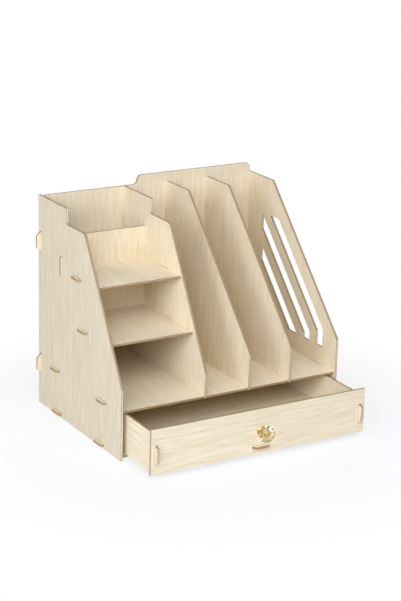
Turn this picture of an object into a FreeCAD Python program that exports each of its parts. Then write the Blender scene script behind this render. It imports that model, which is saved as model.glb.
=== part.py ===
import FreeCAD, Part
import math
import os
from FreeCAD import Vector

# Desk organizer with a drawer, built from thin boards that lock together with
# tabs and slots.  Lengths are millimetres.
#
# Cabinet frame used while drawing: X runs from left to right with 0 at mid width,
# Y runs from front to back with 0 at the front edges of the two side panels,
# Z runs upwards with 0 on the table.  The finished pieces are moved along Y so that
# the origin is the bottom centre of the whole object with its drawer part open.

# ---------------------------------------------------------------- boards and joints
board = 3.0              # thickness of every board
tab_length = 27.0        # length of a tab where it leaves its board
slot_gap = 0.5           # clearance around a tab in its slot
rear_reach = 3.0         # how far a tab stands out behind the back panel or beside a drawer side
tab_chamfer = 3.0        # corner taken off the end of such a tab
short_tab_length = 24.5  # tabs of the level boards in the side panels, and of the drawer
side_reach = 4.0         # beyond the outer face of a side panel
side_chamfer = 3.5
ear_reach = 6.0          # the back panel's ears, beyond the outer face of a side panel
ear_chamfer = 5.5
pen_reach = 1.5          # the pen box panel's side tab, beyond the left side panel
pen_chamfer = 1.5

# ---------------------------------------------------------------- cabinet
cabinet_width = 326.0    # over the outer faces of the two side panels
side_depth = 234.0       # front edge to rear edge of a side panel
side_height = 290.5      # table to the top edge
back_inset = 4.5         # rear edge of a side panel to the rear face of the back panel
front_inset = 3.5        # front edge of a side panel to the front edge of deck and dividers
bottom_rise = 3.0        # table to the underside of the bottom panel
deck_top = 64.8          # table to the top face of the deck

# Stepped outline shared by the left side panel and the column divider.
step_depth = 152.0       # front to the step
step_height = 269.5      # table to the shoulder in front of the step
shoulder_depth = 102.0   # front to the end of the shoulder
column_knee = 95.0       # table to the bend where the slope meets the front edge

# Plain sloping outline shared by the right side panel and the file dividers.
crest_depth = 168.0      # front to the top of the slope
file_knee = 111.5        # table to the bend where the slope meets the front edge

shoulder_round = 9.0     # outer corner of the shoulder
step_round = 2.5         # inner corner of the step
knee_round = 5.0         # bend at the foot of a slope
crest_round = 6.0        # bend at the top of a slope

# Back panel.
back_crown = 303.0       # table to the raised right part of its top edge
back_corner = 4.0        # corner taken off each end of its top edge
curve_start = 134.7      # left inner face to the foot of the S-shaped step
ear_low = 57.5           # table to the middle of the lower ear
ear_high = 228.0         # table to the middle of the upper ear

# Upright dividers, each measured from mid width to its left face.
column_place = -40.2
file_left_place = 25.7
file_right_place = 89.0
divider_tab_low = 112.0  # table to the middle of a divider's lower rear tab
divider_tab_high = 236.0 # table to the middle of its upper rear tab
divider_rear_foot = 182.0   # front to the middle of a divider's rear foot

# Shelves in the left column, with the small panel that makes the pen box.
middle_shelf_top = 141.8
middle_shelf_front = 36.5   # front to the front edge of the shelf
upper_shelf_top = 207.3
upper_shelf_front = 70.0
pen_wall_place = 165.6   # front to the front face of the pen box panel
pen_wall_top = 250.3
pen_tab_height = 210.0   # table to the middle of its side tabs

# Side tabs: distance from the front to the middle of each right tab.
middle_shelf_tab = 98.0
upper_shelf_tab = 116.2
deck_tabs = (45.0, 176.5)
bottom_tabs = (50.5, 171.0)
left_tab_shift = 7.0     # the left tabs sit this much further back
rear_tab_spread = 100.0  # mid width to the rear tabs of the deck
bottom_rear_spread = 80.0

# Three slanted windows in the right side panel.
window_count = 3
window_width = 15.5
window_pitch = 30.7
window_front = 32.0      # front edge of the panel to the first window
window_slope_margin = 20.5  # sloping edge of the panel to the first window
window_bottom = 90.5
window_top = 240.0
window_rear = 190.0      # front to the rear limit of the windows

# ---------------------------------------------------------------- drawer
drawer_open = 70.0       # how far the drawer stands open in the pose that is modelled
drawer_side_gap = 0.7    # side panel to the end of the drawer front
drawer_slide_gap = 0.4   # bottom panel to the underside of the drawer
front_lip = 1.6          # top of the drawer front above the deck
drawer_headroom = 2.3    # top of the drawer sides below the deck
drawer_side_inset = 5.7  # end of the drawer front to the outer face of a drawer side
drawer_rear_gap = 3.5    # drawer's rear tabs to the back panel when shut
floor_rise = 8.1         # underside of the drawer to the underside of its floor
front_tab_reach = 5.0    # tabs beyond the face of the drawer front
front_tab_chamfer = 2.0
drawer_tab_height = 26.2 # underside of the drawer to the middle of its side tabs

# ---------------------------------------------------------------- knob
knob_facets = 8
knob_diameter = 23.0
knob_table = 12.5        # diameter of the flat end
knob_foot = 11.0         # diameter against the base
knob_girdle = 12.0       # foot to the widest ring
knob_length = 18.0       # foot to the flat end
base_diameter = 13.0
base_thickness = 2.0
insert_diameter = 7.0
insert_depth = 10.0      # brass insert inside the knob
screw_diameter = 4.0
screw_head_diameter = 8.0
screw_head_height = 2.6
screw_bite = 8.0         # screw inside the brass insert
screw_hole_gap = 0.25    # around the screw in the drawer front, base and washer
screw_fit_gap = 0.05     # around the screw in the insert, and the insert in the knob
washer_diameter = 10.0
washer_thickness = 1.0
drive_width = 2.6        # cross recess in the screw head
drive_slot = 0.8
drive_depth = 1.3

# ---------------------------------------------------------------- worked out sizes
inner_right = cabinet_width / 2 - board
inner_left = -inner_right
back_face = side_depth - back_inset - board      # front face of the back panel
deck_under = deck_top - board
bottom_top = bottom_rise + board
front_half = inner_right - drawer_side_gap
drawer_under = bottom_top + drawer_slide_gap
front_top = deck_top + front_lip
drawer_side_top = deck_under - drawer_headroom
drawer_side_outer = front_half - drawer_side_inset
drawer_rear = back_face - drawer_rear_gap - rear_reach       # rear face of the drawer back
drawer_floor = drawer_under + floor_rise
drawer_tab_middle = drawer_under + drawer_tab_height
knob_height = (drawer_under + front_top) / 2
knob_reach = base_thickness + knob_length
origin_depth = (side_depth - drawer_open - knob_reach) / 2    # cabinet frame to the origin

ALONG_X = Vector(1, 0, 0)
ALONG_Y = Vector(0, 1, 0)
ALONG_Z = Vector(0, 0, 1)


# ---------------------------------------------------------------- drawing tools
def corner_runs(corners):
    """Turn (u, v, radius) corners into start, middle and end points in the flat."""
    runs = []
    for index, (u, v, radius) in enumerate(corners):
        here = Vector(u, v, 0)
        before = Vector(*corners[index - 1][:2], 0)
        after = Vector(*corners[(index + 1) % len(corners)][:2], 0)
        if radius <= 0:
            runs.append((here, None, here))
            continue
        back = (before - here).normalize()
        ahead = (after - here).normalize()
        half = back.getAngle(ahead) / 2
        reach = radius / math.tan(half)
        centre = here + (back + ahead).normalize() * (radius / math.sin(half))
        middle = centre + (here - centre).normalize() * radius
        runs.append((here + back * reach, middle, here + ahead * reach))
    return runs


def outline_edges(corners, to_space):
    """Straight and round edges of a closed outline, placed in space."""
    runs = corner_runs(corners)
    edges = []
    for index, (start, middle, end) in enumerate(runs):
        if middle is not None:
            points = [to_space(p.x, p.y) for p in (start, middle, end)]
            edges.append(Part.Arc(*points).toShape())
        following = runs[(index + 1) % len(runs)][0]
        first, last = to_space(end.x, end.y), to_space(following.x, following.y)
        edges.append(Part.LineSegment(first, last).toShape())
    return edges


def slab(corners, to_space, thickness):
    """Board with the given outline, grown by a thickness vector."""
    wire = Part.Wire(outline_edges(corners, to_space))
    return Part.Face(wire).extrude(thickness)


def upright_side(corners, left_face):
    """Board standing along the depth: corners are (depth, height, radius)."""
    return slab(corners, lambda u, v: Vector(left_face, u, v), ALONG_X * board)


def block(low, high):
    """Box between two opposite corners."""
    size = high - low
    return Part.makeBox(size.x, size.y, size.z, low)


def joint(root, along, out, reach=0.0, chamfer=0.0, length=tab_length):
    """Tab and its slot.  The root is the middle of the tab where it leaves its board,
    on the near face of the board that it goes through."""
    normal = along.cross(out)
    half = length / 2
    rim = [(-half, -board), (-half, board), (half, board), (half, -board)]
    if reach > 0:
        rim[2:2] = [(-half + chamfer, board + reach), (half - chamfer, board + reach)]
    start = root - normal * (board / 2)
    wire = Part.makePolygon([start + along * a + out * o for a, o in rim + rim[:1]])
    tab = Part.Face(wire).extrude(normal * board)
    wide = half + slot_gap
    deep = board / 2 + slot_gap
    mouth = root - out * slot_gap
    ends = [(-wide, -deep), (wide, -deep), (wide, deep), (-wide, deep)]
    rim = [mouth + along * a + normal * n for a, n in ends + ends[:1]]
    slot = Part.Face(Part.makePolygon(rim)).extrude(out * (board + 2 * slot_gap))
    return tab, slot


def with_tabs(body, joints):
    """Board with the tabs of the given joints grown on it."""
    return body.multiFuse([tab for tab, _ in joints]).removeSplitter()


def with_slots(body, joints):
    """Board with the slots of the given joints cut through it."""
    return body.cut(Part.makeCompound([slot for _, slot in joints]))


# ---------------------------------------------------------------- joints of the cabinet
def side_joints(level, depths, right_face=None):
    """Joints of a level board: its left tabs, then its right tabs."""
    middle = level + board / 2
    left = [joint(Vector(inner_left, y + left_tab_shift, middle), ALONG_Y, -ALONG_X,
                  side_reach, side_chamfer, short_tab_length) for y in depths]
    if right_face is None:
        right = [joint(Vector(inner_right, y, middle), ALONG_Y, ALONG_X,
                       side_reach, side_chamfer, short_tab_length) for y in depths]
    else:
        right = [joint(Vector(right_face, y, middle), ALONG_Y, ALONG_X,
                       length=short_tab_length) for y in depths]
    return left, right


def rear_joints(level, widths):
    """Joints of a level board with the back panel."""
    return [joint(Vector(x, back_face, level + board / 2), ALONG_X, ALONG_Y,
                  rear_reach, tab_chamfer) for x in widths]


def divider_rear_joints(left_face):
    """Joints of an upright divider with the back panel."""
    return [joint(Vector(left_face + board / 2, back_face, z), ALONG_Z, ALONG_Y,
                  rear_reach, tab_chamfer) for z in (divider_tab_low, divider_tab_high)]


def divider_foot_joints(left_face):
    """Joints of an upright divider with the deck: an open notch in front, a slot behind."""
    depths = (front_inset + tab_length / 2, divider_rear_foot)
    return [joint(Vector(left_face + board / 2, y, deck_top), ALONG_Y, -ALONG_Z)
            for y in depths]


def ear_joints(face, out):
    """Joints of the back panel with one side panel."""
    return [joint(Vector(face, back_face + board / 2, z), ALONG_Z, out,
                  ear_reach, ear_chamfer) for z in (ear_low, ear_high)]


def pen_wall_joints():
    """Joints of the pen box panel: left side panel, column divider, middle shelf."""
    middle = pen_wall_place + board / 2
    left = joint(Vector(inner_left, middle, pen_tab_height), ALONG_Z, -ALONG_X,
                 pen_reach, pen_chamfer)
    right = joint(Vector(column_place, middle, pen_tab_height), ALONG_Z, ALONG_X)
    foot = joint(Vector(column_middle(), middle, middle_shelf_top), ALONG_X, -ALONG_Z)
    return left, right, foot


def column_middle():
    """Mid width of the left column."""
    return (inner_left + column_place) / 2


# ---------------------------------------------------------------- outlines
def stepped_outline(front, rear, foot):
    """Outline of the left side panel and of the column divider."""
    return [
        (front, foot, 0),
        (rear, foot, 0),
        (rear, side_height, 0),
        (step_depth, side_height, 0),
        (step_depth, step_height, step_round),
        (shoulder_depth, step_height, shoulder_round),
        (front, column_knee, knee_round),
    ]


def sloping_outline(front, rear, foot):
    """Outline of the right side panel and of the file dividers."""
    return [
        (front, foot, 0),
        (rear, foot, 0),
        (rear, side_height, 0),
        (crest_depth, side_height, crest_round),
        (front, file_knee, knee_round),
    ]


def window_outline(index):
    """One slanted window: a band of one width that runs down the slope and then straight
    down, ended by the lowest and highest lines and by the rear limit."""
    rise = side_height - file_knee
    steep = rise / crest_depth
    stretch = math.hypot(1, steep)
    near = index * window_pitch
    far = near + window_width

    def slope_height(depth, offset):
        return file_knee + steep * depth - (window_slope_margin + offset) * stretch

    def slope_place(height, offset):
        return (height - slope_height(0, offset)) / steep

    near_line = window_front + near
    far_line = window_front + far
    corners = [(max(near_line, slope_place(window_bottom, near)), window_bottom)]
    if slope_height(near_line, near) > window_bottom:
        corners.append((near_line, slope_height(near_line, near)))
    if slope_place(window_top, near) < window_rear:
        corners.append((slope_place(window_top, near), window_top))
        corners.append((min(slope_place(window_top, far), window_rear), window_top))
    else:
        corners.append((window_rear, slope_height(window_rear, near)))
    if slope_place(window_top, far) > window_rear:
        corners.append((window_rear, slope_height(window_rear, far)))
    if slope_height(far_line, far) > window_bottom:
        corners.append((far_line, slope_height(far_line, far)))
    corners.append((max(far_line, slope_place(window_bottom, far)), window_bottom))
    return [(u, v, 0) for u, v in corners]


def back_outline_edges():
    """Edges of the back panel: its top edge rises through an S-shaped step, which is
    a hollow and a full quarter circle."""
    bend = (back_crown - side_height) / 2
    near = bend * math.sin(math.pi / 4)
    foot = Vector(inner_left + curve_start, back_face, side_height)
    middle = foot + Vector(bend, 0, bend)
    head = middle + Vector(bend, 0, bend)
    hollow = Part.Arc(foot, foot + Vector(near, 0, bend - near), middle)
    full = Part.Arc(middle, middle + Vector(bend - near, 0, near), head)
    across = Vector(back_corner, 0, 0)
    down = Vector(0, 0, back_corner)
    top_right = Vector(inner_right, back_face, back_crown)
    top_left = Vector(inner_left, back_face, side_height)
    stops = [
        head,
        top_right - across,
        top_right - down,
        Vector(inner_right, back_face, 0),
        Vector(inner_left, back_face, 0),
        top_left - down,
        top_left + across,
        foot,
    ]
    lines = [Part.LineSegment(a, b).toShape() for a, b in zip(stops, stops[1:])]
    return [hollow.toShape(), full.toShape()] + lines


# ---------------------------------------------------------------- cabinet pieces
def make_side_panel_left():
    """Left side panel with slots for every board that reaches it."""
    body = upright_side(stepped_outline(0, side_depth, 0), -cabinet_width / 2)
    joints = list(ear_joints(inner_left, -ALONG_X))
    joints += side_joints(bottom_rise, bottom_tabs)[0]
    joints += side_joints(deck_under, deck_tabs)[0]
    joints += side_joints(middle_shelf_top - board, [middle_shelf_tab], column_place)[0]
    joints += side_joints(upper_shelf_top - board, [upper_shelf_tab], column_place)[0]
    joints.append(pen_wall_joints()[0])
    return with_slots(body, joints)


def make_side_panel_right():
    """Right side panel with its slanted windows."""
    body = upright_side(sloping_outline(0, side_depth, 0), inner_right)
    joints = list(ear_joints(inner_right, ALONG_X))
    joints += side_joints(bottom_rise, bottom_tabs)[1]
    joints += side_joints(deck_under, deck_tabs)[1]
    body = with_slots(body, joints)
    for index in range(window_count):
        body = body.cut(upright_side(window_outline(index), inner_right))
    return body


def make_back_panel():
    """Back panel with its ears, slotted for the level boards and the dividers."""
    body = Part.Face(Part.Wire(back_outline_edges())).extrude(ALONG_Y * board)
    ears = ear_joints(inner_left, -ALONG_X) + ear_joints(inner_right, ALONG_X)
    joints = rear_joints(bottom_rise, (-bottom_rear_spread, bottom_rear_spread))
    joints += rear_joints(deck_under, (-rear_tab_spread, rear_tab_spread))
    joints += rear_joints(middle_shelf_top - board, [column_middle()])
    for place in (column_place, file_left_place, file_right_place):
        joints += divider_rear_joints(place)
    return with_slots(with_tabs(body, ears), joints)


def make_bottom_panel():
    """Bottom panel that the drawer runs on."""
    body = block(Vector(inner_left, front_inset, bottom_rise),
                 Vector(inner_right, back_face, bottom_top))
    left, right = side_joints(bottom_rise, bottom_tabs)
    rear = rear_joints(bottom_rise, (-bottom_rear_spread, bottom_rear_spread))
    return with_tabs(body, left + right + rear)


def make_deck_panel():
    """Deck over the drawer, with slots and front notches for the dividers."""
    body = block(Vector(inner_left, front_inset, deck_under),
                 Vector(inner_right, back_face, deck_top))
    left, right = side_joints(deck_under, deck_tabs)
    rear = rear_joints(deck_under, (-rear_tab_spread, rear_tab_spread))
    feet = []
    for place in (column_place, file_left_place, file_right_place):
        feet += divider_foot_joints(place)
    return with_slots(with_tabs(body, left + right + rear), feet)


def make_column_divider():
    """Divider between the shelf column and the files."""
    body = upright_side(stepped_outline(front_inset, back_face, deck_top), column_place)
    tabs = divider_foot_joints(column_place) + divider_rear_joints(column_place)
    slots = [pen_wall_joints()[1]]
    slots += side_joints(middle_shelf_top - board, [middle_shelf_tab], column_place)[1]
    slots += side_joints(upper_shelf_top - board, [upper_shelf_tab], column_place)[1]
    return with_slots(with_tabs(body, tabs), slots)


def make_file_divider(left_face):
    """Divider between two file slots."""
    body = upright_side(sloping_outline(front_inset, back_face, deck_top), left_face)
    return with_tabs(body, divider_foot_joints(left_face) + divider_rear_joints(left_face))


def make_middle_shelf():
    """Middle shelf, which runs back under the pen box and is its floor."""
    under = middle_shelf_top - board
    body = block(Vector(inner_left, middle_shelf_front, under),
                 Vector(column_place, back_face, middle_shelf_top))
    left, right = side_joints(under, [middle_shelf_tab], column_place)
    rear = rear_joints(under, [column_middle()])
    return with_slots(with_tabs(body, left + right + rear), [pen_wall_joints()[2]])


def make_upper_shelf():
    """Upper shelf in front of the pen box."""
    under = upper_shelf_top - board
    body = block(Vector(inner_left, upper_shelf_front, under),
                 Vector(column_place, pen_wall_place, upper_shelf_top))
    left, right = side_joints(under, [upper_shelf_tab], column_place)
    return with_tabs(body, left + right)


def make_pen_box_panel():
    """Front wall of the pen box, standing on the middle shelf."""
    body = block(Vector(inner_left, pen_wall_place, middle_shelf_top),
                 Vector(column_place, pen_wall_place + board, pen_wall_top))
    return with_tabs(body, pen_wall_joints())


# ---------------------------------------------------------------- drawer pieces, shut
def drawer_corner_joint(side, face, out, reach, chamfer):
    """Joint of one drawer side with the drawer front or back."""
    root = Vector(side * (drawer_side_outer - board / 2), face, drawer_tab_middle)
    return joint(root, ALONG_Z, out, reach, chamfer, short_tab_length)


def front_joints():
    """Joints that come through the drawer front: two sides, then the floor."""
    sides = [drawer_corner_joint(side, board, -ALONG_Y, front_tab_reach, front_tab_chamfer)
             for side in (-1, 1)]
    floor = joint(Vector(0, board, drawer_floor + board / 2), ALONG_X, -ALONG_Y,
                  front_tab_reach, front_tab_chamfer, short_tab_length)
    return sides, floor


def back_joints():
    """Joints that come through the drawer back: two sides, then the floor."""
    face = drawer_rear - board
    sides = [drawer_corner_joint(side, face, ALONG_Y, rear_reach, tab_chamfer)
             for side in (-1, 1)]
    floor = joint(Vector(0, face, drawer_floor + board / 2), ALONG_X, ALONG_Y,
                  rear_reach, tab_chamfer, short_tab_length)
    return sides, floor


def floor_side_joint(side):
    """Joint of the drawer floor with one drawer side."""
    root = Vector(side * (drawer_side_outer - board), drawer_rear / 2, drawer_floor + board / 2)
    return joint(root, ALONG_Y, ALONG_X * side, rear_reach, tab_chamfer)


def make_drawer_front():
    """Drawer front with slots for the tabs and a hole for the knob screw."""
    body = block(Vector(-front_half, 0, drawer_under), Vector(front_half, board, front_top))
    sides, floor = front_joints()
    hole = round_bar(screw_diameter / 2 + screw_hole_gap, 0, board)
    return with_slots(body, sides + [floor]).cut(hole)


def make_drawer_back():
    """Drawer back, as wide as the front so that it guides the drawer."""
    body = block(Vector(-front_half, drawer_rear - board, drawer_under),
                 Vector(front_half, drawer_rear, drawer_side_top))
    sides, floor = back_joints()
    return with_slots(body, sides + [floor])


def make_drawer_side(side):
    """Drawer side: side is -1 for the left one and 1 for the right one."""
    outer = side * drawer_side_outer
    inner = side * (drawer_side_outer - board)
    body = block(Vector(min(outer, inner), board, drawer_under),
                 Vector(max(outer, inner), drawer_rear - board, drawer_side_top))
    index = 0 if side < 0 else 1
    body = with_tabs(body, [front_joints()[0][index], back_joints()[0][index]])
    return with_slots(body, [floor_side_joint(side)])


def make_drawer_floor():
    """Raised floor of the drawer."""
    half = drawer_side_outer - board
    body = block(Vector(-half, board, drawer_floor),
                 Vector(half, drawer_rear - board, drawer_floor + board))
    joints = [front_joints()[1], back_joints()[1], floor_side_joint(-1), floor_side_joint(1)]
    return with_tabs(body, joints)


# ---------------------------------------------------------------- knob, on its axis
def round_bar(radius, near, far):
    """Cylinder on the knob axis between two depths, near being the smaller one."""
    start = Vector(0, near, knob_height)
    return Part.makeCylinder(radius, far - near, start, ALONG_Y)


def facet_ring(depth, diameter, turn):
    """Corners of one ring of the faceted knob; turn counts facets."""
    corners = []
    for index in range(knob_facets):
        angle = 2 * math.pi * (index + turn) / knob_facets
        radius = diameter / 2
        corners.append(Vector(radius * math.cos(angle), depth,
                              knob_height + radius * math.sin(angle)))
    return corners


def flat_face(points):
    """Flat face through the given corners."""
    return Part.Face(Part.makePolygon(points + points[:1]))


def facet_band(lower, upper):
    """Triangular facets between two rings that are half a facet apart."""
    faces = []
    for index in range(knob_facets):
        following = (index + 1) % knob_facets
        faces.append(flat_face([lower[index], lower[following], upper[index]]))
        faces.append(flat_face([upper[index], upper[following], lower[following]]))
    return faces


def make_knob():
    """Clear faceted knob with a blind hole for the brass insert."""
    foot = -base_thickness
    rings = [
        facet_ring(foot, knob_foot, 0),
        facet_ring(foot - knob_girdle, knob_diameter, 0.5),
        facet_ring(foot - knob_length, knob_table, 1),
    ]
    faces = [flat_face(rings[0]), flat_face(rings[2])]
    faces += facet_band(rings[0], rings[1])
    faces += facet_band(rings[1], rings[2])
    body = Part.Solid(Part.Shell(faces))
    bore = round_bar(insert_diameter / 2 + screw_fit_gap, foot - insert_depth, foot)
    return body.cut(bore)


def make_knob_base():
    """Brass rosette between the knob and the drawer front."""
    body = round_bar(base_diameter / 2, -base_thickness, 0)
    return body.cut(round_bar(screw_diameter / 2 + screw_hole_gap, -base_thickness, 0))


def make_knob_insert():
    """Brass insert that the screw bites into."""
    foot = -base_thickness
    body = round_bar(insert_diameter / 2, foot - insert_depth + screw_fit_gap, foot)
    return body.cut(round_bar(screw_diameter / 2 + screw_fit_gap,
                              foot - screw_bite - screw_fit_gap, foot))


def make_knob_screw():
    """Pan head screw that comes through the drawer front from inside."""
    head = board + washer_thickness
    shank = round_bar(screw_diameter / 2, -base_thickness - screw_bite, head)
    cap = round_bar(screw_head_diameter / 2, head, head + screw_head_height)
    rim = [edge for edge in cap.Edges if edge.BoundBox.YMin > head + screw_head_height / 2]
    cap = cap.makeFillet(screw_head_height / 2, [rim[0]])
    top = head + screw_head_height
    bars = []
    for wide, tall in ((drive_width, drive_slot), (drive_slot, drive_width)):
        half = Vector(wide / 2, 0, tall / 2)
        low = Vector(0, top - drive_depth, knob_height) - half
        bars.append(block(low, Vector(0, top, knob_height) + half))
    return shank.fuse(cap).cut(bars[0]).cut(bars[1]).removeSplitter()


def make_knob_washer():
    """Washer under the screw head."""
    body = round_bar(washer_diameter / 2, board, board + washer_thickness)
    return body.cut(round_bar(screw_diameter / 2 + screw_hole_gap, board,
                              board + washer_thickness))


# ---------------------------------------------------------------- assembly
def cabinet_pieces():
    """Pieces that stand still."""
    return {
        "side_panel_left": make_side_panel_left(),
        "side_panel_right": make_side_panel_right(),
        "back_panel": make_back_panel(),
        "bottom_panel": make_bottom_panel(),
        "deck_panel": make_deck_panel(),
        "column_divider": make_column_divider(),
        "file_divider_left": make_file_divider(file_left_place),
        "file_divider_right": make_file_divider(file_right_place),
        "middle_shelf": make_middle_shelf(),
        "upper_shelf": make_upper_shelf(),
        "pen_box_panel": make_pen_box_panel(),
    }


def drawer_pieces():
    """Pieces that slide out together, drawn with the drawer shut."""
    return {
        "drawer_front": make_drawer_front(),
        "drawer_back": make_drawer_back(),
        "drawer_side_left": make_drawer_side(-1),
        "drawer_side_right": make_drawer_side(1),
        "drawer_floor": make_drawer_floor(),
        "drawer_knob": make_knob(),
        "knob_base": make_knob_base(),
        "knob_insert": make_knob_insert(),
        "knob_screw": make_knob_screw(),
        "knob_washer": make_knob_washer(),
    }


def main():
    """Write one file per piece, with the drawer part open."""
    os.makedirs("parts", exist_ok=True)
    for pieces, shift in ((cabinet_pieces(), 0.0), (drawer_pieces(), -drawer_open)):
        for name, shape in pieces.items():
            solid = shape.Solids[0] if len(shape.Solids) == 1 else shape
            solid.translate(Vector(0, shift - origin_depth, 0))
            solid.exportStep(os.path.join("parts", name + ".step"))
            print(name, len(shape.Solids), solid.isValid(), round(solid.Volume, 1))


if __name__ == "__main__":
    main()
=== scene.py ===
import math

import bpy
from bpy.props import FloatProperty, FloatVectorProperty, IntProperty, PointerProperty
from mathutils import Matrix, Vector


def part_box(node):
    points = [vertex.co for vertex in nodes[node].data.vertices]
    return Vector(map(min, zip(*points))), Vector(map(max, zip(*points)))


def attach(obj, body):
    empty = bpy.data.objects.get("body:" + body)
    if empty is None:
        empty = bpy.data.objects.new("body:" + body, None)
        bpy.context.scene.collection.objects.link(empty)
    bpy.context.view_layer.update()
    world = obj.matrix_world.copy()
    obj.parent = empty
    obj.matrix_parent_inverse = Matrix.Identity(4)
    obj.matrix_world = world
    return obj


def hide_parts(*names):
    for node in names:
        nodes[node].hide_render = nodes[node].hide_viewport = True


bl_info = {
    "name": "Desk organizer with drawer",
    "version": (1, 0, 0),
    "blender": (4, 5, 0),
    "location": "View3D > Sidebar > Organizer",
    "description": "Dresses the boards, the drawer and the clear knob of a desk organizer",
    "category": "Object",
}

# The object stands with +Z up and its front towards -Y.  Lengths are metres.
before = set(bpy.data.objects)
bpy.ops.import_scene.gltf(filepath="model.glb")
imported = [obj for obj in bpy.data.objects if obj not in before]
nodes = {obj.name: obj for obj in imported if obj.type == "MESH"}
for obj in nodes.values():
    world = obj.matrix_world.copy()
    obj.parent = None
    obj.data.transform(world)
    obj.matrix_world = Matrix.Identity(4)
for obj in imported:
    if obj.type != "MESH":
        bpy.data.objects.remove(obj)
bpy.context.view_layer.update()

AXES = "XYZ"

# Each board: the axis through its thickness, the axis its grain runs along, the ways its
# tabs point, how pale its foil is beside the others, and how many cells its pattern is
# shifted, so that no two are alike.
CABINET_SHELL = {
    "side_panel_left": ("X", "Z", "", 0.86, (3.1, 1.2, 5.5)),
    "side_panel_right": ("X", "Z", "", 1.0, (12.7, 8.3, 2.1)),
    "back_panel": ("Y", "Z", "-X +X", 0.98, (6.4, 23.5, 9.3)),
    "bottom_panel": ("Z", "Y", "-X +X +Y", 0.97, (21.2, 4.7, 17.6)),
    "deck_panel": ("Z", "Y", "-X +X +Y", 1.0, (9.5, 16.4, 3.8)),
}
CABINET_INSIDE = {
    "column_divider": ("X", "Z", "+Y -Z", 1.03, (33.1, 5.6, 14.2)),
    "file_divider_left": ("X", "Z", "+Y -Z", 1.02, (4.7, 31.8, 26.9)),
    "file_divider_right": ("X", "Z", "+Y -Z", 1.02, (18.3, 29.4, 7.7)),
    "middle_shelf": ("Z", "Y", "-X +X +Y", 1.0, (27.1, 11.3, 6.2)),
    "upper_shelf": ("Z", "Y", "-X +X", 1.0, (1.9, 25.7, 30.5)),
    "pen_box_panel": ("Y", "Z", "-X +X", 1.0, (36.2, 8.8, 19.7)),
}
DRAWER_BOARDS = {
    "drawer_front": ("Y", "X", "", 0.98, (14.6, 2.9, 28.3)),
    "drawer_back": ("Y", "X", "", 0.97, (23.8, 19.1, 1.4)),
    "drawer_side_left": ("X", "Y", "-Y +Y", 1.0, (7.2, 34.6, 12.9)),
    "drawer_side_right": ("X", "Y", "-Y +Y", 0.99, (30.7, 6.5, 21.8)),
    "drawer_floor": ("Z", "X", "-X +X -Y +Y", 0.96, (11.4, 22.6, 35.1)),
}

# Most of a noise's levels lie in this range.
NOISE_RANGE = (0.3, 0.7)

# Foil.  Fine lines, bands and clouds add up to its grain level, and its colour goes from
# light to dark over the grain range.  Pores show over the pore range.  Cells are how many
# there are in a metre, across the grain and along it.
SWAY_CELLS = (14.0, 4.5)
CLOUD_CELLS = (9.0, 3.0)
LINE_WEIGHT = 1.1
BAND_WEIGHT = 0.16
CLOUD_WEIGHT = 0.1
GRAIN_RANGE = (0.52, 0.86)
PORE_RANGE = (0.6, 0.74)
PORE_SHARE = 0.22
PORE_TONE = 0.6
FOIL_ROUGHNESS = (0.4, 0.54)

# Cut edges.  Fibre, and its layers along the board and through its thickness, add up to
# the fibre level, and the colour goes down to its darker tone over the fibre range.
FIBRE_CELLS = 1900.0
LAYER_CELLS = (160.0, 2400.0)
FIBRE_WEIGHT = 0.6
LAYER_WEIGHT = 0.5
FIBRE_RANGE = (0.36, 0.76)
CORE_TONE = 0.72
# Darker patches in the painted highlight on the upright edges.
PAINTED_LIT_CORE_TONE = 0.8
SCORCH_SHARE = 0.85
CORE_ROUGHNESS = 0.85
CORE_RELIEF = 2.2

# Depth and strength of the relief on a whole board.
RELIEF_DEPTH = 0.00012
RELIEF_STRENGTH = 0.3

# Shares of an axis in a face's normal.  Above the first the face looks along the axis, and
# below the second at right angles to it.  A cut edge has less than the third of the axis
# through its board.
LOOKS_ALONG = 0.9
LOOKS_ASIDE = 0.1
CUT_FACING = 0.7

# Brass and steel: cells of the turning lines, across the axis and along it, and of stains.
TURNING_CELLS = (90.0, 5200.0)
TURNING_DEPTH = 0.00005
STAIN_CELLS = 300.0
STAIN_RANGE = (0.47, 0.6)

# Clear knob: its haze, and how tightly its bore grips the brass insert round it and at its
# end, so that no air lies between them.
HAZE_CELLS = 900.0
HAZE_ROUGHNESS = (0.0, 0.03)
BORE_GRIP = 0.00005
BORE_END_GRIP = 0.00025

# Soft square lamps: where each one stands, and its width.  All face one point.
LAMPS = {
    "left": ((-2.1, -0.85, 0.95), 1.2),
    "corner": ((-1.4, -1.9, 1.5), 1.3),
    "front": ((0.1, -1.9, 2.2), 2.2),
    "top": ((-0.5, -0.1, 2.4), 1.4),
    "back": ((1.5, 2.1, 1.3), 1.6),
}
LAMPS_FACE = Vector((0, 0, 0.12))

FLOOR_WIDTH = 12.0
FLOOR_LEVEL = -0.0003  # just clear of the feet, which stand at 0
SHADOW_REACH = (0.24, 0.42)  # the shadow on the floor fades out between these distances
SHADOW_COVER = 0.75  # share of white that lies over the shadow

WHITE = (1.0, 1.0, 1.0, 1.0)


def half_width(name):
    """Half of a node's width, to a hundredth of a millimetre."""
    low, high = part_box(name)
    return round((high.x - low.x) / 2, 5)


def forward(name):
    """How far a node comes out in front of the drawer, to a hundredth of a millimetre."""
    return round(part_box("drawer_front")[0].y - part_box(name)[0].y, 5)


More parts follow.
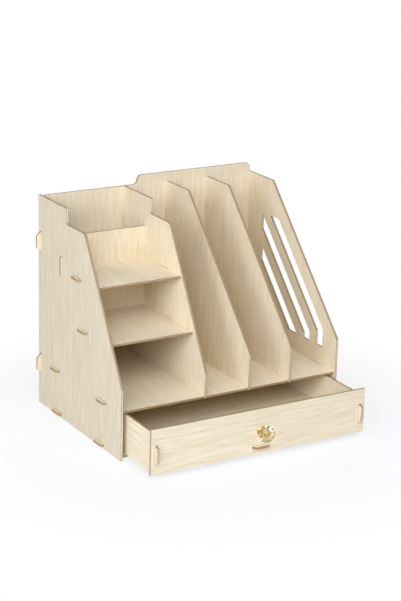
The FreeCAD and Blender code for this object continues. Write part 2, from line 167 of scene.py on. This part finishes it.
# ---------------------------------------------------------------- sizes and colours
class OrganizerFoil(bpy.types.PropertyGroup):
    """Wood-look foil on both faces of every board."""

    light: FloatVectorProperty(
        name="Light wood", description="Colour between the grain lines",
        subtype="COLOR", size=3, default=(0.9, 0.79, 0.605))
    dark: FloatVectorProperty(
        name="Dark wood", description="Colour of the grain lines",
        subtype="COLOR", size=3, default=(0.76, 0.63, 0.42))
    core: FloatVectorProperty(
        name="Board core", description="Pressed wood fibre that shows on the cut edges",
        subtype="COLOR", size=3, default=(0.53, 0.375, 0.205))
    # Painted highlight: a paler copy of the core for the upright edges, which are lit more than
    # the others.
    painted_lit_core: FloatVectorProperty(
        name="Painted lit core", description="Paler fibre on the upright edges",
        subtype="COLOR", size=3, default=(0.82, 0.68, 0.48))
    scorch: FloatVectorProperty(
        name="Scorched core", description="Browned line at each face of a cut edge",
        subtype="COLOR", size=3, default=(0.17, 0.075, 0.027))
    scorch_width: FloatProperty(
        name="Scorch width", description="Width of that line",
        subtype="DISTANCE", default=0.0006)
    # Partly scorch, partly painted shade: the darker colour on the tab ends stands in for the
    # dark line of shade at each tab.
    tab_scorch_and_shade: FloatProperty(
        name="Tab scorch and shade", description="How far the ends of the tabs are browned",
        subtype="FACTOR", default=0.15)
    streak: FloatProperty(
        name="Streak spacing", description="Distance between fine grain lines",
        subtype="DISTANCE", default=0.0019)
    streak_length: FloatProperty(
        name="Streak length", description="Length of a fine grain line",
        subtype="DISTANCE", default=0.045)
    waviness: FloatProperty(
        name="Waviness", description="How far a grain line wanders to a side",
        subtype="DISTANCE", default=0.0025)


class OrganizerKnob(bpy.types.PropertyGroup):
    """Faceted clear knob with its brass fittings."""

    facets: IntProperty(
        name="Facets", description="Sides of the knob", min=3, default=8)
    foot: FloatProperty(
        name="Foot radius", description="Radius of the knob where it stands on its base",
        subtype="DISTANCE", default=0.0056)
    girdle: FloatProperty(
        name="Girdle radius", description="Radius of the knob where it is widest",
        subtype="DISTANCE", default=0.0115)
    table: FloatProperty(
        name="Table radius", description="Radius of the knob's flat end",
        subtype="DISTANCE", default=0.0058)
    edge: FloatProperty(
        name="Knob edge", description="Width of the soft edges of the facets",
        subtype="DISTANCE", default=0.00012)
    base: FloatProperty(
        name="Base radius", description="Radius of the turned base",
        subtype="DISTANCE", default=half_width("knob_base"))
    groove: FloatProperty(
        name="Groove radius", description="Radius of the base in its groove",
        subtype="DISTANCE", default=0.0051)
    screw_hole: FloatProperty(
        name="Screw hole", description="Radius of the hole in the base",
        subtype="DISTANCE", default=0.00225)
    base_edge: FloatProperty(
        name="Base edge", description="Width of the soft edges of the base",
        subtype="DISTANCE", default=0.00015)
    clear: FloatVectorProperty(
        name="Clear plastic", description="Tint of the knob",
        subtype="COLOR", size=3, default=(0.98, 0.92, 0.76))
    brass: FloatVectorProperty(
        name="Brass", description="Colour of the base and the insert",
        subtype="COLOR", size=3, default=(0.66, 0.48, 0.14))
    steel: FloatVectorProperty(
        name="Steel", description="Colour of the screw and washer",
        subtype="COLOR", size=3, default=(0.6, 0.6, 0.61))


class OrganizerStage(bpy.types.PropertyGroup):
    """Floor, lights and camera."""

    floor: FloatVectorProperty(
        name="Floor", description="Colour of the floor",
        subtype="COLOR", size=3, default=(0.93, 0.925, 0.93))
    light: FloatVectorProperty(
        name="Light", description="Colour of the lamps",
        subtype="COLOR", size=3, default=(0.93, 1.0, 1.12))
    room: FloatVectorProperty(
        name="Room light", description="Colour and strength of the even light",
        subtype="COLOR", size=3, default=(0.08, 0.058, 0.033))
    left_power: FloatProperty(
        name="Left light", description="Power of the soft light on the left, in watts",
        default=24.5)
    corner_power: FloatProperty(
        name="Corner light", description="Power of the soft light front left, in watts",
        default=35.5)
    front_power: FloatProperty(
        name="Front light", description="Power of the high light in front, in watts",
        default=27.0)
    top_power: FloatProperty(
        name="Top light", description="Power of the weak light overhead, in watts",
        default=7.0)
    back_power: FloatProperty(
        name="Back light", description="Power of the weak light behind, in watts",
        default=22.0)
    camera_turn: FloatProperty(
        name="Camera turn", description="Angle round the object from straight ahead",
        subtype="ANGLE", default=math.radians(-31.258909))
    camera_rise: FloatProperty(
        name="Camera rise", description="Angle above the horizon",
        subtype="ANGLE", default=math.radians(17.837387))
    camera_roll: FloatProperty(
        name="Camera roll", description="Lean of the camera",
        subtype="ANGLE", default=math.radians(1.537326))
    camera_distance: FloatProperty(
        name="Camera distance", description="Camera to the point it looks at",
        subtype="DISTANCE", default=2.2939036)
    camera_target: FloatVectorProperty(
        name="Camera target", description="Point the camera looks at",
        subtype="XYZ", size=3, default=(0.00237571, 0.01799665, 0.16223943))
    camera_lens: FloatProperty(
        name="Lens", description="Focal length in millimetres", default=104.643)


# ---------------------------------------------------------------- material tools
class Shading:
    """Short way to add nodes to one material or world and join them."""

    def __init__(self, owner):
        owner.use_nodes = True
        self.owner = owner
        self.tree = owner.node_tree
        self.tree.nodes.clear()

    def add(self, kind, inputs=None, **settings):
        """New node with its inputs joined or set."""
        node = self.tree.nodes.new(kind)
        for key, value in settings.items():
            setattr(node, key, value)
        for key, value in (inputs or {}).items():
            self.put(node.inputs[key], value)
        return node

    def put(self, socket, value):
        """Join a socket or node to a socket, or set the socket to a value."""
        if isinstance(value, bpy.types.NodeSocket):
            self.tree.links.new(value, socket)
        elif isinstance(value, bpy.types.Node):
            self.tree.links.new(value.outputs[0], socket)
        else:
            socket.default_value = value

    def combine(self, kind, operation, values):
        node = self.add(kind, operation=operation)
        for socket, value in zip(node.inputs, values):
            self.put(socket, value)
        return node.outputs[0]

    def math(self, operation, *values):
        return self.combine("ShaderNodeMath", operation, values)

    def vector(self, operation, *values):
        return self.combine("ShaderNodeVectorMath", operation, values)

    def weighted(self, *parts):
        """Sum of values, each times its weight."""
        total = 0.0
        for value, weight in reversed(parts):
            total = self.math("MULTIPLY_ADD", value, weight, total)
        return total

    def ramp(self, value, low, high, to_low=0.0, to_high=1.0):
        """Value that goes from to_low to to_high as another goes from low to high."""
        return self.add("ShaderNodeMapRange", {
            "Value": value, "From Min": low, "From Max": high,
            "To Min": to_low, "To Max": to_high}).outputs[0]

    def mix(self, share, first, second):
        """Colour that goes from the first to the second."""
        node = self.add("ShaderNodeMix", {0: share, 6: first, 7: second}, data_type="RGBA")
        return node.outputs[2]

    def noise(self, place, detail, scale=1.0, roughness=0.5):
        """Outputs of a noise: its level first, and its colour."""
        return self.add("ShaderNodeTexNoise", {
            "Vector": place, "Scale": scale, "Detail": detail, "Roughness": roughness}).outputs

    def parts(self, vector):
        """The X, Y and Z of a vector."""
        return self.add("ShaderNodeSeparateXYZ", {0: vector}).outputs

    def finish(self, shader, output="ShaderNodeOutputMaterial"):
        self.add(output, {"Surface": shader})
        return self.owner


def opaque(colour, tone=1.0):
    """Colour with full alpha, darker where the tone is below 1."""
    return (*(c * tone for c in colour), 1.0)


def stretched(shading, place, grain, across, along, shift):
    """Place in cells of a pattern, so many in a metre across the grain and along it."""
    scale = [across] * 3
    scale[AXES.index(grain)] = along
    return shading.add("ShaderNodeMapping", {
        "Vector": place, "Scale": scale, "Location": shift}).outputs[0]


def facing_share(shading, normal, ways):
    """1 where a face looks one of the ways, such as "-X +Y", and 0 elsewhere."""
    share = 0.0
    for way in ways.split():
        sign = -1.0 if way[0] == "-" else 1.0
        part = shading.math("MULTIPLY", normal[AXES.index(way[1])], sign)
        share = shading.math("ADD", shading.math("GREATER_THAN", part, LOOKS_ALONG), share)
    return share


def give(name, material):
    """Put a material on a carried-over node."""
    slots = nodes[name].material_slots
    if not slots:
        raise RuntimeError(name + " has no material slot")
    for slot in slots:
        slot.link = "OBJECT"
        slot.material = material


# ---------------------------------------------------------------- boards
def foil_face(shading, place, grain, tone, shift):
    """Wood-look foil: its colour, its fine grain lines and its pores."""
    foil = bpy.context.scene.organizer_foil

    # Grain lines wander a little from side to side.
    sway = stretched(shading, place, grain, *SWAY_CELLS, shift)
    sway = shading.noise(sway, detail=2.0)["Color"]
    sway = shading.vector("SUBTRACT", sway, (0.5, 0.5, 0.5))
    sway = shading.vector("MULTIPLY", sway, [foil.waviness] * 3)
    swayed = shading.vector("ADD", place, sway)

    def lines(width, length, detail, roughness=0.5):
        """Noise in cells of so many fine grain lines' width and length."""
        across = 1.0 / (foil.streak * width)
        along = 1.0 / (foil.streak_length * length)
        cells = stretched(shading, swayed, grain, across, along, shift)
        return shading.noise(cells, detail, roughness=roughness)[0]

    fine = lines(width=1, length=1, detail=5.0, roughness=0.62)
    bands = lines(width=7, length=3, detail=3.0)
    pores = lines(width=1 / 3.1, length=1 / 7, detail=2.0)
    clouds = stretched(shading, place, grain, *CLOUD_CELLS, shift)
    clouds = shading.noise(clouds, detail=2.0)[0]

    grain_level = shading.weighted(
        (fine, LINE_WEIGHT), (bands, BAND_WEIGHT), (clouds, CLOUD_WEIGHT))
    grain_share = shading.ramp(grain_level, *GRAIN_RANGE)
    colour = shading.mix(grain_share, opaque(foil.light, tone), opaque(foil.dark, tone))
    pores = shading.ramp(pores, *PORE_RANGE)
    pore_share = shading.math("MULTIPLY", pores, PORE_SHARE)
    colour = shading.mix(pore_share, colour, opaque(foil.dark, PORE_TONE))
    return colour, fine, pores


def cut_edge(shading, place, normal, name, through, tabs, shift):
    """Pressed fibre with a browned line along each face: its colour and its fibre."""
    foil = bpy.context.scene.organizer_foil
    low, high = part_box(name)
    axis = AXES.index(through)

    fibre = shading.noise(place, detail=4.0, scale=FIBRE_CELLS, roughness=0.7)[0]
    layers = stretched(shading, place, through, *LAYER_CELLS, shift)
    layers = shading.noise(layers, detail=3.0)[0]
    fibre_level = shading.weighted((fibre, FIBRE_WEIGHT), (layers, LAYER_WEIGHT))
    fibre_share = shading.ramp(fibre_level, *FIBRE_RANGE)
    colour = shading.mix(fibre_share, opaque(foil.core), opaque(foil.core, CORE_TONE))

    # Painted highlight: a board that stands from front to back gets a paler copy of the same
    # fibre on its upright edges, which stands in for the light that falls on them.
    if through == "X":
        painted_lit_core = shading.mix(fibre_share, opaque(foil.painted_lit_core), opaque(foil.painted_lit_core, PAINTED_LIT_CORE_TONE))
        rise = shading.math("ABSOLUTE", normal[AXES.index("Z")])
        upright = shading.math("LESS_THAN", rise, LOOKS_ASIDE)
        colour = shading.mix(upright, colour, painted_lit_core)

    # The browned line, with a border that wanders by half its width.
    depth = shading.parts(place)[axis]
    to_low = shading.math("SUBTRACT", depth, low[axis])
    to_high = shading.math("SUBTRACT", high[axis], depth)
    to_face = shading.math("MINIMUM", to_low, to_high)
    to_face = shading.math("MULTIPLY_ADD", layers, foil.scorch_width * -0.5, to_face)
    line = shading.ramp(to_face, foil.scorch_width * 0.2, foil.scorch_width, 1.0, 0.0)
    line = shading.math("MULTIPLY", line, SCORCH_SHARE)
    colour = shading.mix(line, colour, opaque(foil.scorch))

    # The ends of the tabs, browned in patches: partly scorch, partly painted shade that stands
    # in for the dark line of shade at each tab.
    if tabs:
        patches = shading.ramp(
            layers, *NOISE_RANGE, foil.tab_scorch_and_shade * 0.75, foil.tab_scorch_and_shade * 1.25)
        ends = shading.math("MULTIPLY", facing_share(shading, normal, tabs), patches)
        colour = shading.mix(ends, colour, opaque(foil.scorch))
    return colour, fibre


def board_material(name, through, grain, tabs, tone, shift):
    """Foil on the faces of a board, pressed fibre on its cut edges."""
    shading = Shading(bpy.data.materials.new("foil_board_" + name))
    coordinates = shading.add("ShaderNodeTexCoord").outputs
    place = coordinates["Object"]
    normal = shading.parts(coordinates["Normal"])
    face, fine, pores = foil_face(shading, place, grain, tone, shift)
    edge, fibre = cut_edge(shading, place, normal, name, through, tabs, shift)
    facing = shading.math("ABSOLUTE", normal[AXES.index(through)])
    cut = shading.math("LESS_THAN", facing, CUT_FACING)

    rough_face = shading.ramp(fine, *NOISE_RANGE, *FOIL_ROUGHNESS)
    rough_edge = shading.math("MULTIPLY", cut, CORE_ROUGHNESS)
    relief_face = shading.weighted((fine, 0.5), (pores, -0.5))
    relief_edge = shading.math("MULTIPLY", fibre, CORE_RELIEF)
    relief = shading.add("ShaderNodeMix", {0: cut, 2: relief_face, 3: relief_edge})
    bump = shading.add("ShaderNodeBump", {
        "Strength": RELIEF_STRENGTH, "Distance": RELIEF_DEPTH, "Height": relief})
    return shading.finish(shading.add("ShaderNodeBsdfPrincipled", {
        "Base Color": shading.mix(cut, face, edge),
        "Roughness": shading.math("MAXIMUM", rough_face, rough_edge),
        "Normal": bump, "Specular IOR Level": 0.12}))


def dress(boards):
    """Give each board its own foil."""
    for name, finish in boards.items():
        give(name, board_material(name, *finish))


class ORGANIZER_OT_cabinet_shell(bpy.types.Operator):
    """Finish the side, back, bottom and deck boards"""

    bl_idname = "organizer.cabinet_shell"
    bl_label = "Cabinet Shell"

    def execute(self, context):
        dress(CABINET_SHELL)
        return {"FINISHED"}


class ORGANIZER_OT_cabinet_inside(bpy.types.Operator):
    """Finish the dividers, the shelves and the pen box panel"""

    bl_idname = "organizer.cabinet_inside"
    bl_label = "Dividers and Shelves"

    def execute(self, context):
        dress(CABINET_INSIDE)
        return {"FINISHED"}


class ORGANIZER_OT_drawer_boards(bpy.types.Operator):
    """Finish the boards of the drawer"""

    bl_idname = "organizer.drawer_boards"
    bl_label = "Drawer Boards"

    def execute(self, context):
        dress(DRAWER_BOARDS)
        return {"FINISHED"}


# ---------------------------------------------------------------- knob
def clear_material():
    """Clear acrylic with a faint haze."""
    knob = bpy.context.scene.organizer_knob
    shading = Shading(bpy.data.materials.new("clear_acrylic"))
    place = shading.add("ShaderNodeTexCoord").outputs["Object"]
    haze = shading.noise(place, detail=3.0, scale=HAZE_CELLS)[0]
    return shading.finish(shading.add("ShaderNodeBsdfPrincipled", {
        "Base Color": opaque(knob.clear), "IOR": 1.49, "Transmission Weight": 1.0,
        "Roughness": shading.ramp(haze, *NOISE_RANGE, *HAZE_ROUGHNESS)}))


def metal_material(name, colour, rough, relief, worn):
    """Metal with fine turning lines round the knob's axis and darker worn patches."""
    shading = Shading(bpy.data.materials.new(name))
    place = shading.add("ShaderNodeTexCoord").outputs["Object"]
    lines = stretched(shading, place, "Y", *TURNING_CELLS, (1.0, 4.0, 7.0))
    lines = shading.noise(lines, detail=3.0)[0]
    stains = shading.noise(place, detail=2.0, scale=STAIN_CELLS)[0]
    stains = shading.ramp(stains, *STAIN_RANGE)
    bump = shading.add("ShaderNodeBump", {
        "Strength": relief, "Distance": TURNING_DEPTH, "Height": lines})
    return shading.finish(shading.add("ShaderNodeBsdfPrincipled", {
        "Base Color": shading.mix(stains, opaque(colour), opaque(colour, worn)),
        "Metallic": 1.0, "Normal": bump,
        "Roughness": shading.ramp(lines, *NOISE_RANGE, rough * 0.8, rough * 1.3)}))


# The knob and its base are drawn out of rings round the knob's axis.  A ring is its radius,
# its distance in front of the drawer and how many side widths it is turned.
def knob_rings(knob):
    """Rings from the end of the knob's bore, out over its foot, to its flat end."""
    bore = half_width("knob_insert") - BORE_GRIP
    bore_end = forward("knob_insert") - BORE_END_GRIP
    foot_level = forward("knob_base")
    return (
        (bore, bore_end, 0.0),
        (bore, foot_level, 0.0),
        (knob.foot, foot_level, 0.0),
        (0.0097, 0.0075, 0.5),  # middle of the rear facets
        (knob.girdle, 0.0125, 1.0),
        (knob.girdle, 0.0142, 1.0),
        (0.0092, 0.0178, 1.5),  # middle of the front facets
        (knob.table, forward("drawer_knob"), 2.0),
    )


def base_rings(knob):
    """Rings round the section of the base, from its hole and back to it."""
    top = forward("knob_base")
    return (
        (knob.screw_hole, 0.0, 0.0),
        (knob.base - 0.0002, 0.0, 0.0),
        (knob.base, 0.0003, 0.0),
        (knob.base, 0.0006, 0.0),
        (knob.foot, 0.0009, 0.0),
        (knob.groove, 0.0014, 0.0),
        (knob.foot, 0.0018, 0.0),
        (knob.foot, top, 0.0),
        (knob.screw_hole, top, 0.0),
        (knob.screw_hole, 0.0, 0.0),
    )


def turned(name, sides, rings, closed):
    """Shape drawn out of one ring.  A closed shape comes back to its first ring, and an
    open one has a flat face at both ends."""
    low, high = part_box("knob_base")
    centre = Vector(((low.x + high.x) / 2, high.y, (low.z + high.z) / 2))

    # A property keeps its size in single precision, which is rounded off here.
    rings = [[round(size, 7) for size in ring] for ring in rings]
    radius, reach, _ = rings[0]
    bpy.ops.object.select_all(action="DESELECT")
    bpy.ops.mesh.primitive_circle_add(
        vertices=sides, radius=radius, fill_type="NOTHING" if closed else "NGON",
        location=centre - Vector((0, reach, 0)), rotation=(math.pi / 2, 0, 0))
    piece = bpy.context.object
    piece.name = name
    bpy.ops.object.transform_apply(location=True, rotation=True, scale=True)
    bpy.ops.object.mode_set(mode="EDIT")
    bpy.ops.mesh.select_all(action="SELECT")
    for (old_radius, old_reach, old_turn), (radius, reach, turn) in zip(rings, rings[1:]):
        middle = centre - Vector((0, reach, 0))
        size = radius / old_radius
        bpy.ops.mesh.extrude_region_move(
            TRANSFORM_OT_translate={"value": (0, old_reach - reach, 0)})
        bpy.ops.transform.resize(value=(size, size, size), center_override=middle)
        bpy.ops.transform.rotate(
            value=(turn - old_turn) * math.tau / sides, orient_axis="Y",
            center_override=middle)
    bpy.ops.mesh.select_all(action="SELECT")
    bpy.ops.mesh.remove_doubles(threshold=0.00001)

    # A twisted face becomes two flat facets, and a flat one stays whole.
    bpy.ops.mesh.quads_convert_to_tris(quad_method="SHORTEST_DIAGONAL")
    bpy.ops.mesh.tris_convert_to_quads(face_threshold=0.001, shape_threshold=math.pi)
    bpy.ops.mesh.normals_make_consistent(inside=False)
    bpy.ops.object.mode_set(mode="OBJECT")
    return piece


def softened(piece, width, segments):
    """Take the sharpness off the edges of a piece where it turns by 12 degrees or more."""
    bevel = piece.modifiers.new("edges", "BEVEL")
    bevel.width = width
    bevel.segments = segments
    bevel.limit_method = "ANGLE"
    bevel.angle_limit = math.radians(12)
    bpy.context.view_layer.objects.active = piece
    bpy.ops.object.modifier_apply(modifier="edges")


class ORGANIZER_OT_knob(bpy.types.Operator):
    """Cut the clear knob and finish it"""

    bl_idname = "organizer.knob"
    bl_label = "Knob"

    def execute(self, context):
        settings = context.scene.organizer_knob
        knob = turned("cut_knob", settings.facets, knob_rings(settings), closed=False)
        softened(knob, settings.edge, segments=1)
        knob.data.materials.append(clear_material())
        knob.visible_shadow = False  # Clear plastic lets the light through.
        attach(knob, "drawer")
        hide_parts("drawer_knob")
        return {"FINISHED"}


class ORGANIZER_OT_knob_fittings(bpy.types.Operator):
    """Turn the brass base, and finish it, the insert, the screw and the washer"""

    bl_idname = "organizer.knob_fittings"
    bl_label = "Knob Fittings"

    def execute(self, context):
        settings = context.scene.organizer_knob
        brass = metal_material("brass", settings.brass, rough=0.16, relief=0.2, worn=0.4)
        steel = metal_material(
            "zinc_steel", settings.steel, rough=0.3, relief=0.2, worn=0.78)
        base = turned("turned_base", 64, base_rings(settings), closed=True)
        softened(base, settings.base_edge, segments=2)
        bpy.ops.object.select_all(action="DESELECT")
        base.select_set(True)
        bpy.context.view_layer.objects.active = base
        bpy.ops.object.shade_smooth_by_angle(angle=math.radians(30))
        base.data.materials.append(brass)
        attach(base, "drawer")
        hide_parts("knob_base")
        give("knob_insert", brass)
        give("knob_screw", steel)
        give("knob_washer", steel)
        return {"FINISHED"}


# ---------------------------------------------------------------- stage
def seen_share(shading):
    """1 for what the camera sees, straight on, in a shine or through the clear knob."""
    rays = shading.add("ShaderNodeLightPath").outputs
    share = 0.0
    for ray in ("Is Camera Ray", "Is Glossy Ray", "Is Transmission Ray"):
        share = shading.math("MAXIMUM", rays[ray], share)
    return share


def floor_material(colour):
    """Pale floor that keeps the object's shadow and is white to the camera."""
    shading = Shading(bpy.data.materials.new("pale_floor"))
    paint = shading.add("ShaderNodeBsdfDiffuse", {"Color": opaque(colour)})
    glow = shading.add("ShaderNodeEmission", {"Color": WHITE, "Strength": 1.0})
    place = shading.add("ShaderNodeTexCoord").outputs["Object"]
    reach = shading.add("ShaderNodeVectorMath", {0: place}, operation="LENGTH")
    cover = shading.ramp(reach.outputs["Value"], *SHADOW_REACH, SHADOW_COVER, 1.0)
    share = shading.math("MULTIPLY", seen_share(shading), cover)
    return shading.finish(shading.add("ShaderNodeMixShader", {0: share, 1: paint, 2: glow}))


def room_light(colour):
    """Even warm light that looks white to the camera."""
    world = bpy.data.worlds.new("room")
    bpy.context.scene.world = world
    shading = Shading(world)
    tint = shading.mix(seen_share(shading), opaque(colour), WHITE)
    shading.finish(shading.add("ShaderNodeBackground", {"Color": tint}), "ShaderNodeOutputWorld")


def soft_light(name, place, width, power, colour):
    """Square lamp that faces the object."""
    lamp = bpy.data.lights.new(name, "AREA")
    lamp.energy = power
    lamp.size = width
    lamp.color = colour
    holder = bpy.data.objects.new(name, lamp)
    holder.location = place
    towards = LAMPS_FACE - Vector(place)
    holder.rotation_euler = towards.to_track_quat("-Z", "Y").to_euler()
    bpy.context.scene.collection.objects.link(holder)


def camera_matrix(stage):
    """Where the camera stands and how it is turned."""
    turn, rise, roll = stage.camera_turn, stage.camera_rise, stage.camera_roll
    back = Vector((math.sin(turn) * math.cos(rise), -math.cos(turn) * math.cos(rise),
                   math.sin(rise)))
    right = (-back).cross(Vector((0, 0, 1))).normalized()
    up = right.cross(-back)
    leaned = math.cos(roll) * right + math.sin(roll) * up
    upright = math.cos(roll) * up - math.sin(roll) * right
    facing = Matrix((leaned, upright, back)).transposed().to_4x4()
    place = Vector(stage.camera_target) + back * stage.camera_distance
    return Matrix.Translation(place) @ facing


def add_camera(scene, stage):
    """The camera, which the scene looks through."""
    lens = bpy.data.cameras.new("camera")
    lens.sensor_width = 36.0
    lens.lens = stage.camera_lens
    lens.clip_start = 0.05
    lens.clip_end = 50.0
    camera = bpy.data.objects.new("camera", lens)
    camera.matrix_world = camera_matrix(stage)
    scene.collection.objects.link(camera)
    scene.camera = camera


class ORGANIZER_OT_stage(bpy.types.Operator):
    """Make the floor, the soft lights and the camera"""

    bl_idname = "organizer.stage"
    bl_label = "Stage"

    def execute(self, context):
        stage = context.scene.organizer_stage
        bpy.ops.object.select_all(action="DESELECT")
        bpy.ops.mesh.primitive_plane_add(size=FLOOR_WIDTH, location=(0, 0, FLOOR_LEVEL))
        floor = context.object
        floor.name = "floor"
        floor.data.materials.append(floor_material(stage.floor))

        room_light(stage.room)
        for name, (place, width) in LAMPS.items():
            power = getattr(stage, name + "_power")
            soft_light(name + "_light", place, width, power, stage.light)
        add_camera(context.scene, stage)
        context.scene.view_settings.view_transform = "Standard"
        return {"FINISHED"}


# ---------------------------------------------------------------- panel
class ORGANIZER_PT_parts(bpy.types.Panel):
    """Steps that dress the organizer"""

    bl_idname = "ORGANIZER_PT_parts"
    bl_label = "Desk Organizer"
    bl_space_type = "VIEW_3D"
    bl_region_type = "UI"
    bl_category = "Organizer"

    def draw(self, context):
        for step in OPERATORS:
            self.layout.operator(step.bl_idname)


GROUPS = {
    "organizer_foil": OrganizerFoil,
    "organizer_knob": OrganizerKnob,
    "organizer_stage": OrganizerStage,
}
OPERATORS = (
    ORGANIZER_OT_cabinet_shell,
    ORGANIZER_OT_cabinet_inside,
    ORGANIZER_OT_drawer_boards,
    ORGANIZER_OT_knob,
    ORGANIZER_OT_knob_fittings,
    ORGANIZER_OT_stage,
)


def register():
    for kind in (*GROUPS.values(), *OPERATORS, ORGANIZER_PT_parts):
        bpy.utils.register_class(kind)
    for name, group in GROUPS.items():
        setattr(bpy.types.Scene, name, PointerProperty(type=group))


def unregister():
    for name in GROUPS:
        delattr(bpy.types.Scene, name)
    for kind in reversed((*GROUPS.values(), *OPERATORS, ORGANIZER_PT_parts)):
        bpy.utils.unregister_class(kind)


def main():
    register()
    bpy.ops.organizer.cabinet_shell()
    bpy.ops.organizer.cabinet_inside()
    bpy.ops.organizer.drawer_boards()
    bpy.ops.organizer.knob()
    bpy.ops.organizer.knob_fittings()
    bpy.ops.organizer.stage()


if __name__ == "__main__":
    main()
